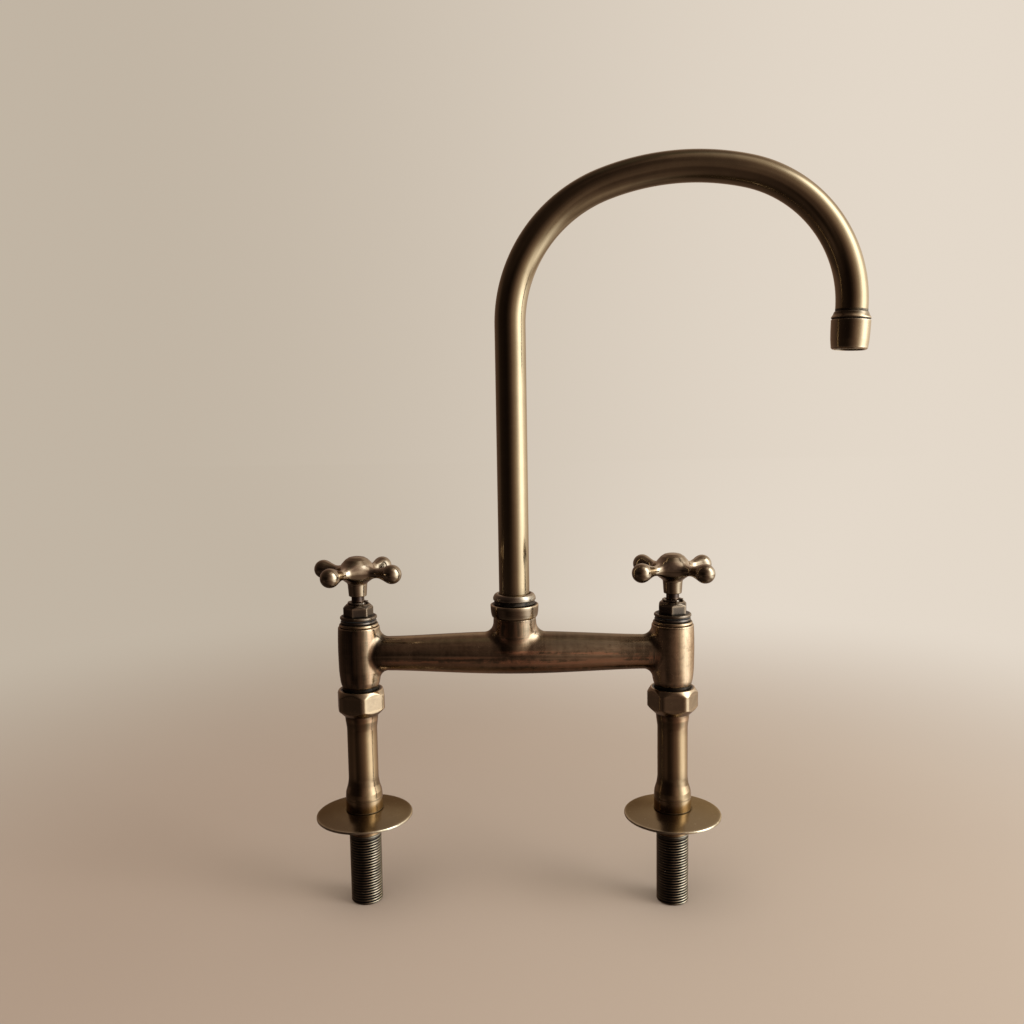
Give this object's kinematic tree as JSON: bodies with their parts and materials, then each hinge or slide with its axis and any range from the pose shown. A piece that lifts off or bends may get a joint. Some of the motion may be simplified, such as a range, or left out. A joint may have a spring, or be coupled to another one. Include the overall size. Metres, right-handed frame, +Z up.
{
  "type": "bridge kitchen faucet",
  "caption": "Two-handle bridge faucet with a tall swivelling gooseneck spout, cross handles, pillar legs on round deck flanges and threaded tails.",
  "frame": {"origin": "midway between the two tails, on the deck plane (underside of the deck flanges)", "axes": "+Z up, +X along the bridge towards the spout's outlet, -Y towards the user"},
  "size_m": [0.3563, 0.063, 0.4804],
  "materials": {
    "aged_brass": "antique brass, dark olive-brown patina, satin, worn golden edges",
    "flange_brass": "antique brass, spun, satin, bright rim",
    "tail_brass": "threaded brass, nearly black patina in the grooves, worn bright crests",
    "dark_brass": "machined brass with a dark brown patina",
    "spring_steel": "darkened spring steel",
    "rubber": "black moulded rubber",
    "ceramic": "lapped white alumina ceramic",
    "nylon": "moulded black nylon"
  },
  "bodies": {
    "fixed_frame": {"bridge_body": "aged_brass", "left_union_nut": "aged_brass", "right_union_nut": "aged_brass", "left_leg": "aged_brass", "right_leg": "aged_brass", "left_tail": "tail_brass", "right_tail": "tail_brass", "left_flange": "flange_brass", "right_flange": "flange_brass", "left_union_washer": "rubber", "right_union_washer": "rubber", "left_cartridge": "dark_brass", "right_cartridge": "dark_brass", "left_bonnet_ring": "aged_brass", "right_bonnet_ring": "aged_brass", "left_lock_ring": "aged_brass", "right_lock_ring": "aged_brass", "left_bonnet_seal": "rubber", "right_bonnet_seal": "rubber", "left_fixed_disc": "ceramic", "right_fixed_disc": "ceramic", "left_seat_seal": "rubber", "right_seat_seal": "rubber", "hub_collar": "aged_brass", "spout_split_ring": "spring_steel"},
    "left_handle": {"left_handle": "aged_brass", "left_handle_screw": "spring_steel", "left_spindle": "dark_brass", "left_spindle_clip": "spring_steel", "left_spindle_seal": "rubber", "left_moving_disc": "ceramic"},
    "right_handle": {"right_handle": "aged_brass", "right_handle_screw": "spring_steel", "right_spindle": "dark_brass", "right_spindle_clip": "spring_steel", "right_spindle_seal": "rubber", "right_moving_disc": "ceramic"},
    "spout": {"spout_tube": "aged_brass", "spout_ferrule": "aged_brass", "spout_lower_seal": "rubber", "spout_upper_seal": "rubber", "outlet_collar": "aged_brass", "aerator_housing": "aged_brass", "aerator_insert": "nylon", "aerator_gasket": "rubber"}
  },
  "joints": [
    {"name": "left_handle_turn", "type": "hinge", "parent": "fixed_frame", "child": "left_handle", "pos_m": [-0.1016, 0, 0.164], "axis": [0, 0, 1], "range_deg": [0, 90]},
    {"name": "right_handle_turn", "type": "hinge", "parent": "fixed_frame", "child": "right_handle", "pos_m": [0.1016, 0, 0.164], "axis": [0, 0, 1], "range_deg": [-90, 0]},
    {"name": "spout_swivel", "type": "hinge", "parent": "fixed_frame", "child": "spout", "pos_m": [0, 0, 0.145], "axis": [0, 0, 1], "continuous": true}
  ]
}
